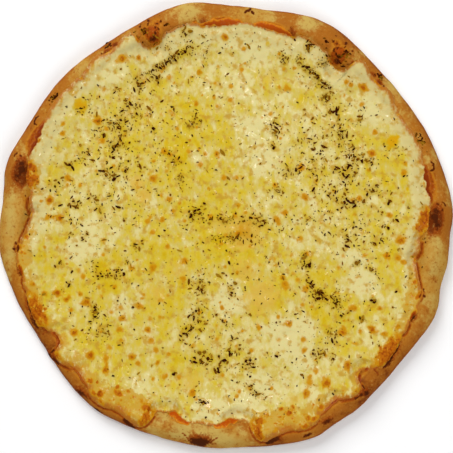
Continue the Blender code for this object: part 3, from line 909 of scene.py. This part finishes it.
paint(
    cheese,
    milky=milky,
    band=band,
    buttery=dabs(flat, BUTTERY),
    peachy=dabs(flat, PEACHY),
    gold=patches(bearing, radius, GOLD),
    toasted=np.maximum(toasted, FRECKLE_STRENGTH * freckles),
    fried=fried,
    outlined=np.maximum(lines(bearing, radius, BROWNED_LINES), burnt_edge),
    tanned=tanned,
    film=ramp(inward, film_reach, 0.0),
)

MILK = (0.685, 0.590, 0.245)
CREAM = (0.605, 0.468, 0.094)
BAND_MILK = (0.590, 0.482, 0.185)
LEMON = (0.612, 0.454, 0.040)
BUTTER = (0.600, 0.425, 0.017)
OIL_YELLOW = (0.585, 0.385, 0.004)
HONEY = (0.630, 0.325, 0.003)
GOLDEN_BROWN = (0.500, 0.280, 0.024)
OLIVE = (0.465, 0.290, 0.008)
PEACH = (0.635, 0.412, 0.060)
TAN_YELLOW = (0.540, 0.310, 0.030)
AMBER = (0.540, 0.245, 0.002)
TOAST = (0.370, 0.088, 0.001)
FRIED_ORANGE = (0.450, 0.125, 0.003)
FRIED_BROWN = (0.300, 0.058, 0.001)
FILM = (0.415, 0.138, 0.011)
RUSTY = (0.300, 0.045, 0.001)
SINGED = (0.110, 0.022, 0.002)

finish = Finish("melted_cheese", {
    "Subsurface Weight": 0.05, "Subsurface Scale": 0.0015,
    "Coat Roughness": 0.13, "Specular IOR Level": 0.03,
}, MILK)
cloud = finish.noise(17.0, 3.0)
curds = finish.noise(6.5, 3.0, 0.55, squeeze=(1.15, 0.7, 1.0))
spots = finish.noise(3.1, squeeze=(1.2, 0.6, 1.0))
grain = finish.noise(1.3, 3.0, 0.6)
rich = finish.mask("buttery") * 0.75 - finish.mask("milky") * 0.85 - 0.04
rich = rich + (cloud - 0.5) * 1.3 + (curds - 0.5) * 2.3 + (spots - 0.5) * 1.1
finish.cover(rich.between(-0.5, 0.16), CREAM)
finish.cover(rich.between(0.05, 0.4), LEMON)
finish.cover(rich.between(0.35, 0.7), BUTTER)
finish.cover(rich.between(0.6, 1.0), OIL_YELLOW)
finish.cover(finish.mask("band") * (1.0 - rich.between(0.0, 0.4)) * 0.9, BAND_MILK)
finish.cover(finish.noise(4.6, 3.0).between(0.51, 0.71) * 0.85, GOLDEN_BROWN)
peachy = finish.mask("peachy") + (spots - 0.5) * 0.6
finish.cover(peachy.between(0.15, 0.7) * 0.85, PEACH)
finish.cover((peachy + (curds - 0.5) * 1.6).between(0.8, 1.5) * 0.8, AMBER)
gold_mask = finish.mask("gold") + (spots - 0.5) * 0.8
finish.cover(gold_mask.between(0.25, 0.8) * 0.95, OIL_YELLOW)
finish.cover((gold_mask + (curds - 0.5)).between(0.5, 1.1), HONEY)
finish.cover((finish.mask("oiled") + (spots - 0.5) * 0.5).between(0.1, 1.0) * 0.6, OLIVE)
tanned = finish.mask("tanned")
patchy = tanned * 1.1 + (finish.noise(5.4, 4.0, 0.62) - 0.5) * 3.2 + (spots - 0.5) * 1.2
finish.cover(patchy.between(0.35, 0.95) * tanned.between(0.0, 0.35) * 0.9, TAN_YELLOW)
blotched = tanned * 0.7 + (finish.noise(3.2, 3.0, 0.65) - 0.5) * 3.8
finish.cover(blotched.between(0.75, 1.2) * tanned.between(0.1, 0.7) * 0.9, AMBER)
finish.cover(blotched.between(1.05, 1.5) * tanned.between(0.1, 0.7), FRIED_ORANGE)
film_mask = finish.mask("film") * (1.0 + (spots - 0.5) * 2.4 + (grain - 0.5) * 1.4)
finish.cover(film_mask.between(0.05, 0.9) * 0.95, FILM)
toast_mask = finish.mask("toasted") * (1.0 + (grain - 0.5) * 1.2 + (spots - 0.5) * 1.4)
finish.cover(toast_mask.between(0.04, 0.45) * 0.97, AMBER)
finish.cover(toast_mask.between(0.45, 1.0), TOAST)
froth = finish.cells(1.9) + (finish.noise(1.5, 3.0, 0.7) - 0.5) * 1.4
fry_mask = finish.mask("fried") * (1.0 + (curds - 0.5) * 1.4 + (spots - 0.5) * 2.6 + (grain - 0.5) * 1.0)
finish.cover(fry_mask.between(0.15, 0.5) * 0.9, AMBER)
finish.cover(fry_mask.between(0.4, 0.8), FRIED_ORANGE)
finish.cover((fry_mask * 0.5 + froth).between(0.9, 1.35) * fry_mask.between(0.3, 0.6), FRIED_BROWN)
line_mask = finish.mask("outlined") + (spots - 0.5) * 0.8
finish.cover(line_mask.between(0.3, 0.8), RUSTY)
finish.cover(line_mask.between(0.8, 1.2), SINGED)
baked = toast_mask.between(0.1, 0.6) + fry_mask.between(0.1, 0.7)
finish.feed("Base Color", finish.colour)
finish.feed("Coat Weight", 0.08 + finish.mask("milky") * 0.14 - baked * 0.1)
finish.feed("Roughness", 0.4 + grain * 0.3)
finish.bump(curds * 0.4 + grain * 0.35 + finish.noise(0.7) * 0.1, 0.35)
cheese.data.materials.append(finish.material)

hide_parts("melted_cheese")
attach(cheese, "root")


# ---- The dried herbs -----------------------------------------------------------------------
# Oregano rubbed between the fingers over the pizza: torn leaf flakes up to 4 mm long, in drifts
# and lines, and finer crumbs of leaf and stalk. They stick in the cheese by their own oil.

# Drifts in millimetres: (x, y, half length, half width, turn in degrees, flakes, size).
DRIFTS_LEFT = [
    (-38.9, 110.4, 12.7, 1.1, 30, 62, 1.05), (-56.7, 92.9, 3.4, 4, 70, 10, 1.6),
    (-73.1, 90.9, 1.7, 2, 0, 5, 1.2), (-63.1, 80.2, 5.4, 4, 20, 24, 0.9),
    (-73.1, 66.1, 6, 4, 20, 34, 1.2), (-85.9, 64.1, 4, 2, 0, 9, 1), (-72.5, 52, 6.7, 5.4, -60, 26, 1.2),
    (-104.7, 40.6, 1.7, 1.3, 0, 3, 1.8), (-93.3, 46.6, 4.7, 2, 10, 14, 1),
    (-79.8, 34.6, 6, 2.7, -30, 14, 1.5), (-67.8, 38.6, 3.4, 2, -20, 6, 1.2),
    (-36.9, 45.3, 4, 5.4, 60, 20, 0.9), (-21.5, 69.4, 4.7, 2.7, 20, 20, 0.9),
    (-30.2, 31.9, 4, 2.7, 0, 11, 0.8), (-22.1, 9.1, 4, 2.7, 10, 18, 0.9),
    (-110, -25.8, 1.7, 1.3, 60, 3, 1.7), (-93.3, -5.7, 2, 1.7, -60, 3, 1.5),
    (-104.7, -5.7, 2.7, 1, 30, 4, 1.3), (-86.6, -31.9, 3.4, 3.4, 0, 15, 0.9),
    (-73.1, -31.9, 4.7, 2.7, 0, 20, 1), (-66.4, -24.5, 2, 1.3, 20, 5, 1.1),
    (-59.7, -13.1, 2, 2.7, 60, 6, 1.1), (-105.3, -39.3, 1.3, 1.3, 60, 3, 1.5),
    (-89.2, -56.7, 4, 4.7, 0, 18, 0.9), (-81.9, -70.1, 4, 4, 0, 16, 0.9),
    (-92.6, -70.1, 2, 1.3, -40, 4, 1), (-5.4, -90.9, 5.4, 4.7, -40, 17, 1.5),
    (-15.4, -117.8, 2, 1, -30, 3, 1.5), (-34.2, -99.6, 1.3, 1, 0, 2, 1.3),
    (-28.2, 130.5, 2.7, 2, 40, 9, 1.3), (-38.9, 134.5, 1.7, 0.7, 50, 2, 1.4),
    (-38.9, 121.1, 2.7, 3.4, 0, 9, 0.8), (-25.5, 119.8, 2.7, 3.4, 0, 10, 0.9),
    (-13.4, 118.4, 3.4, 3.4, 0, 8, 0.7), (-47, 99, 3.4, 2, 20, 16, 0.9),
    (-115.4, 85.6, 3.4, 1.3, 45, 10, 1.4), (-51, 125.8, 4.7, 6.7, 60, 26, 0.8),
    (-53.7, 129.8, 2, 2, 60, 6, 1.6), (-79.2, 120.4, 4, 1.3, 30, 7, 1.1), (-101.3, 76.2, 6.7, 2, 0, 6, 1),
    (-44.3, 70.8, 13.4, 9.4, 0, 26, 0.7), (-108, 23.8, 9.4, 5.4, 0, 10, 0.9),
    (-98, 13.8, 10.7, 9.4, 0, 22, 1), (-84.5, 13.1, 6.7, 5.4, 0, 14, 1.2),
    (-66, 40, 30, 13, 85, 70, 0.95),
]
DRIFTS_MIDDLE = [
    (2.7, 4.6, 26, 2, -3, 42, 1.2), (7, -8.4, 14, 2, 0, 26, 1), (38.9, 111.1, 2.7, 2.7, 0, 9, 0.9),
    (56.4, 120.4, 2, 1.3, 40, 6, 1.3), (32.9, 66.8, 2.7, 2.7, 60, 9, 1.2),
    (31.5, 53.3, 1.3, 1.3, 0, 3, 1.6), (53, -24.5, 4, 4, 0, 10, 1.3), (57, -40.6, 2, 1.3, 0, 4, 1),
    (63.7, -48.6, 4, 2.7, 0, 16, 1.1), (73.8, -52, 4, 3.4, 0, 14, 1), (5.4, -86.2, 4, 1.3, 10, 7, 1.5),
    (15.4, -92.9, 5.4, 3.4, -50, 16, 1.2), (20.5, -110.4, 6, 4, -40, 14, 0.9),
    (9.4, -16.4, 20.1, 13.4, 0, 18, 0.7), (62, 48, 26, 9, 95, 50, 0.95),
    (-16.8, -40.6, 4.7, 4.7, 0, 26, 1.2), (-18.8, -62.7, 6.7, 5.4, -50, 24, 1),
    (-24.2, -71.5, 5.4, 4.7, -40, 18, 1.4), (4, -43.4, 3, 4, 0, 10, 1.1), (1, -66, 3.4, 4, 40, 8, 1),
    (5.4, -75.1, 2.4, 2.4, 0, 5, 1.1),
]
LOOSE_CRUMBS = 1400
LOOSE_FLAKES = 400
LOOSE_WITHIN = 134.0
LOOSE_FLAKE_SIZE = 1.05
CRUMB_SIZE = 0.62
SMALLEST_FLAKE = 0.8
LARGEST_FLAKE = 2.1
SHED_AROUND_DRIFTS = 1.2
SHED_FURTHER = 1.5
# Most flakes of a drift lie within these shares of its half length and half width.
CROWDED_ALONG = 0.65
CROWDED_ACROSS = 0.85
OIL_STRENGTH = 0.3
OIL_REACH = 1.9
CELLS_IN_OIL_REACH = 3
# Rays come down from here, in metres, to find the height of the topping.
RAY_START = 0.1

surface = bmesh.new()
for layer in (crust, sauce, cheese):
    surface.from_mesh(layer.data)
TOPPED = BVHTree.FromBMesh(surface)
surface.free()


def mirrored_drifts(drifts):
    """Drifts of the left half, and the like drifts of the right half, turned the other way."""
    both = across_axis(drifts)
    return both[: len(drifts)] + [(*d[:4], 2.0 * HALVES_AXIS - d[4], *d[5:]) for d in both[len(drifts):]]


def drift_points(rng, drifts):
    """(x, y, size) of every flake in the drifts, and of the finer crumbs shed round them."""
    strewn = []
    for x, y, half_length, half_width, turn, count, size in drifts:
        shed = round(SHED_AROUND_DRIFTS * count)
        further = np.repeat([1.0, SHED_FURTHER], [count, shed])
        along = CROWDED_ALONG * rng.normal(0.0, further) * half_length
        across = CROWDED_ACROSS * rng.normal(0.0, further) * half_width
        cos, sin = math.cos(math.radians(turn)), math.sin(math.radians(turn))
        sizes = np.repeat([size, CRUMB_SIZE], [count, shed]) * rng.lognormal(-0.05, 0.32, count + shed)
        sizes = np.minimum(sizes, LARGEST_FLAKE)
        strewn += zip(x + along * cos - across * sin, y + along * sin + across * cos, sizes)
    return strewn


def oil_round(strewn, spots_x, spots_y):
    """How much herb oil each spot of the cheese soaked up: a map of the flakes, blurred."""
    cell = OIL_REACH / CELLS_IN_OIL_REACH
    cells = int(2.0 * ROUND_RADIUS / cell)
    x, y, size = np.transpose(strewn)
    limits = [[-ROUND_RADIUS, ROUND_RADIUS]] * 2
    soaked = np.histogram2d(x, y, cells, limits, weights=size**2)[0]
    twice = 2 * CELLS_IN_OIL_REACH
    spread = np.exp(-((np.arange(-twice, twice + 1) / CELLS_IN_OIL_REACH) ** 2))
    for axis in (0, 1):
        soaked = np.apply_along_axis(np.convolve, axis, soaked, spread, mode="same")
    column, row = (np.clip((spots + ROUND_RADIUS) / cell, 0, cells - 1) for spots in (spots_x, spots_y))
    return soaked[column.astype(int), row.astype(int)]


def points_on_pizza(name, strewn):
    """A mesh of loose points on the pizza's top, with each one's size and the slope it lies on."""
    ray = Vector((0.0, 0.0, -1.0))
    hits = [(TOPPED.ray_cast(Vector((x * MM, y * MM, RAY_START)), ray), size) for x, y, size in strewn]
    hits = [(hit, size) for hit, size in hits if hit[0] is not None]
    mesh = bpy.data.meshes.new(name)
    mesh.from_pydata([hit[0] for hit, _ in hits], [], [])
    slopes = mesh.attributes.new("slope", "FLOAT_VECTOR", "POINT")
    slopes.data.foreach_set("vector", np.ravel([hit[1] for hit, _ in hits]))
    spots = put_in_scene(name, mesh)
    paint(spots, size=np.array([size for _, size in hits]))
    return spots


class Growth:
    """A Geometry Nodes tree with named inputs, which makes one piece from its points."""

    def __init__(self, name):
        self.tree = bpy.data.node_groups.new(name, "GeometryNodeTree")
        self.node = Socket(self.tree).node
        self.values = {}
        self.add_socket("Geometry", "NodeSocketGeometry", "INPUT")
        self.add_socket("Geometry", "NodeSocketGeometry", "OUTPUT")
        self.given = self.tree.nodes.new("NodeGroupInput")
        self.made = self.tree.nodes.new("NodeGroupOutput")

    def add_socket(self, name, kind, direction):
        return self.tree.interface.new_socket(name, in_out=direction, socket_type=kind)

    def given_value(self, name):
        return Socket(self.tree, self.given.outputs[name])

    def size(self, name, value, kind="NodeSocketFloat"):
        """Adds a named input, and remembers its value for the modifier."""
        self.values[self.add_socket(name, kind, "INPUT").identifier] = value
        return self.given_value(name)

    def attribute(self, name, kind="FLOAT"):
        return self.node("GeometryNodeInputNamedAttribute", {"data_type": kind}, {"Name": name})

    def random(self, low, high, seed, kind="FLOAT"):
        # A Random Value node keeps its vector sockets first and its number sockets after them.
        low_socket, high_socket, output = {"FLOAT_VECTOR": (0, 1, 0), "FLOAT": (2, 3, 1)}[kind]
        inputs = {low_socket: low, high_socket: high, "Seed": seed}
        return self.node("FunctionNodeRandomValue", {"data_type": kind}, inputs, output)

    def vector(self, x, y, z):
        return self.node("ShaderNodeCombineXYZ", {}, {"X": x, "Y": y, "Z": z})

    def vector_math(self, operation, *values):
        return self.node("ShaderNodeVectorMath", {"operation": operation}, dict(enumerate(values)))

    def scaled(self, vector, factor):
        return self.node("ShaderNodeVectorMath", {"operation": "SCALE"}, {0: vector, "Scale": factor})

    def apply(self, points, geometry, material):
        """Ends the tree, runs it on the points and returns the plain mesh object it makes."""
        realized = self.node("GeometryNodeRealizeInstances", {}, {"Geometry": geometry})
        jag = self.node("ShaderNodeTexNoise", {}, {"Scale": JAGS_PER_METRE, "Detail": 1.0}, "Color")
        centred = self.vector_math("SUBTRACT", jag, (0.5, 0.5, 0.5))
        shift = self.scaled(centred, self.given_value("Jaggedness"))
        jagged = self.node("GeometryNodeSetPosition", {}, {"Geometry": realized, "Offset": shift})
        done = self.node("GeometryNodeSetMaterial", {}, {"Geometry": jagged, "Material": material})
        self.tree.links.new(done.output, self.made.inputs[0])
        modifier = points.modifiers.new(self.tree.name, "NODES")
        modifier.node_group = self.tree
        for identifier, value in self.values.items():
            modifier[identifier] = value
        evaluated = points.evaluated_get(bpy.context.evaluated_depsgraph_get())
        mesh = bpy.data.meshes.new_from_object(evaluated)
        name = points.name
        bpy.data.objects.remove(points)
        mesh.name = name
        return put_in_scene(name, mesh)


SCORCHED_LEAF = (0.034, 0.005, 0.001)
BROWN_LEAF = (0.125, 0.030, 0.001)
DRIED_LEAF = (0.225, 0.098, 0.003)
SOAKED_LEAF = (0.345, 0.180, 0.008)
JAGS_PER_METRE = 1400.0
JAGGEDNESS = 0.6
POINTEDNESS = 2.6
LARGEST_LEAN = 0.45
FULL_TURN = 6.2832


def herb_material(name):
    finish = Finish(name, {"Roughness": 0.8, "Specular IOR Level": 0.0}, SCORCHED_LEAF)
    leaf = finish.noise(0.9, 3.0, 0.6)
    shade = finish.mask("shade") + (leaf - 0.5) * 0.5
    finish.cover(shade.between(0.3, 0.6), BROWN_LEAF)
    finish.cover(shade.between(0.42, 0.75), DRIED_LEAF)
    finish.cover(shade.between(0.75, 1.0), SOAKED_LEAF)
    finish.feed("Base Color", finish.colour)
    finish.bump(leaf, 0.1)
    return finish.material


def strew(name, strewn, length, width, thickness, curl, segments, seed):
    """Flakes of leaf on the given points: bent, tapering chips, each turned its own way."""
    growth = Growth(name)
    length_input = growth.size("Flake length", length * MM)
    width_input = growth.size("Flake width", width * MM)
    thickness_input = growth.size("Flake thickness", thickness * MM)
    curl_input = growth.size("Curl", curl)
    growth.size("Jaggedness", JAGGEDNESS * width * MM)
    seed_input = growth.size("Seed", seed, "NodeSocketInt")
    chip_sizes = {"Size": (1.0, 1.0, 1.0), "Vertices X": segments, "Vertices Y": 3, "Vertices Z": 2}
    chip = growth.node("GeometryNodeMeshCube", {}, chip_sizes)
    spot = growth.node("GeometryNodeInputPosition", {}, {})
    along = growth.node("ShaderNodeSeparateXYZ", {}, {"Vector": spot}, "X")
    taper = growth.vector(1.0, 1.0 - along * along * POINTEDNESS, 1.0)
    bend = growth.vector(0.0, 0.0, along * along * curl_input)
    bent = growth.vector_math("ADD", growth.vector_math("MULTIPLY", spot, taper), bend)
    leaf = growth.node("GeometryNodeSetPosition", {}, {"Geometry": chip, "Position": bent})
    slope = {"Vector": growth.attribute("slope", "FLOAT_VECTOR")}
    upright = growth.node("FunctionNodeAlignRotationToVector", {"axis": "Z"}, slope)
    least, most = (-LARGEST_LEAN, -LARGEST_LEAN, 0.0), (LARGEST_LEAN, LARGEST_LEAN, FULL_TURN)
    lean = growth.random(least, most, seed_input, "FLOAT_VECTOR")
    leaning = {"Rotation": upright, "Rotate By": lean}
    turned = growth.node("FunctionNodeRotateRotation", {"rotation_space": "LOCAL"}, leaning)
    stretch = growth.random((0.45, 0.6, 0.7), (1.6, 1.3, 1.3), seed + 1, "FLOAT_VECTOR")
    size = growth.vector(length_input, width_input, thickness_input)
    size = growth.scaled(growth.vector_math("MULTIPLY", size, stretch), growth.attribute("size"))
    inputs = {"Points": growth.given_value(0), "Instance": leaf, "Rotation": turned, "Scale": size}
    flakes = growth.node("GeometryNodeInstanceOnPoints", {}, inputs)
    shade = {"Geometry": flakes, "Name": "shade", "Value": growth.random(0.0, 1.0, seed + 2)}
    one_each = {"domain": "INSTANCE", "data_type": "FLOAT"}
    shaded = growth.node("GeometryNodeStoreNamedAttribute", one_each, shade)
    return growth.apply(points_on_pizza(name, strewn), shaded, herb_material(name))


rng = np.random.default_rng(20)
drifted = drift_points(rng, mirrored_drifts(DRIFTS_LEFT) + DRIFTS_MIDDLE)
count = LOOSE_CRUMBS + LOOSE_FLAKES
x, y = strewn_in_disc(rng, count, LOOSE_WITHIN)
sizes = np.repeat([CRUMB_SIZE, LOOSE_FLAKE_SIZE], [LOOSE_CRUMBS, LOOSE_FLAKES])
herbs = drifted + list(zip(x, y, sizes * rng.lognormal(-0.05, 0.3, count)))
paint(cheese, oiled=OIL_STRENGTH * oil_round(herbs, flat[..., 0], flat[..., 1]))
large = [flake for flake in herbs if flake[2] > SMALLEST_FLAKE]
small = [flake for flake in herbs if flake[2] <= SMALLEST_FLAKE]

FLAKE = {"length": 1.8, "width": 0.9, "thickness": 0.25, "curl": 0.5, "segments": 5, "seed": 21}
CRUMB = {"length": 1.45, "width": 0.8, "thickness": 0.3, "curl": 0.3, "segments": 3, "seed": 31}
flakes = strew("oregano_flakes", large, **FLAKE)
crumbs = strew("herb_crumbs", small, **CRUMB)
for herb in (flakes, crumbs):
    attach(herb, "root")


# ---- The floor, the lights and the camera --------------------------------------------------
# A plain white floor under a wide soft light, and a camera straight above the pizza.

FLOOR_SIZE = 6.0
CAMERA_HEIGHT = 1.1
SEEN_WIDTH = 0.304
SEEN_AT_HEIGHT = 0.008
AIM = (0.00034, -0.00067)
SENSOR = 36.0
SKY_STRENGTH = 0.27

bm = bmesh.new()
bmesh.ops.create_grid(bm, x_segments=1, y_segments=1, size=FLOOR_SIZE / 2.0)
floor_mesh = bpy.data.meshes.new("floor")
bm.to_mesh(floor_mesh)
bm.free()
floor = put_in_scene("floor", floor_mesh)
finish = Finish("white_floor", {"Roughness": 0.9}, (0.93, 0.93, 0.93))
finish.cover(finish.noise(300.0), (0.95, 0.95, 0.95))
finish.feed("Base Color", finish.colour)
floor_mesh.materials.append(finish.material)
floor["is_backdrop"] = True


def area_light(name, place, size, power):
    """A square lamp that points at the middle of the pizza."""
    lamp = bpy.data.lights.new(name, "AREA")
    lamp.size = size
    lamp.energy = power
    made = put_in_scene(name, lamp)
    made.location = place
    made.rotation_euler = (-Vector(place)).to_track_quat("-Z", "Y").to_euler()


area_light("window_light", (-0.8, 1.7, 1.7), size=1.5, power=50.0)
area_light("wall_light", (0.9, -1.6, 1.7), size=1.6, power=24.0)
area_light("small_light", (0.3, 0.5, 2.4), size=0.18, power=8.0)

world = bpy.data.worlds.new("studio")
world.use_nodes = True
sky = world.node_tree.nodes["Background"]
sky.inputs["Color"].default_value = (1.0, 1.0, 1.0, 1.0)
sky.inputs["Strength"].default_value = SKY_STRENGTH
bpy.context.scene.world = world
bpy.context.scene.view_settings.view_transform = "Standard"

lens = bpy.data.cameras.new("camera")
lens.sensor_width = SENSOR
lens.lens = SENSOR * (CAMERA_HEIGHT - SEEN_AT_HEIGHT) / SEEN_WIDTH
camera = put_in_scene("camera", lens)
camera.location = (*AIM, CAMERA_HEIGHT)
bpy.context.scene.camera = camera

low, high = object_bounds()
sizes = {"cad": [list(cad_low), list(cad_high)], "visual": [list(low), list(high)]}
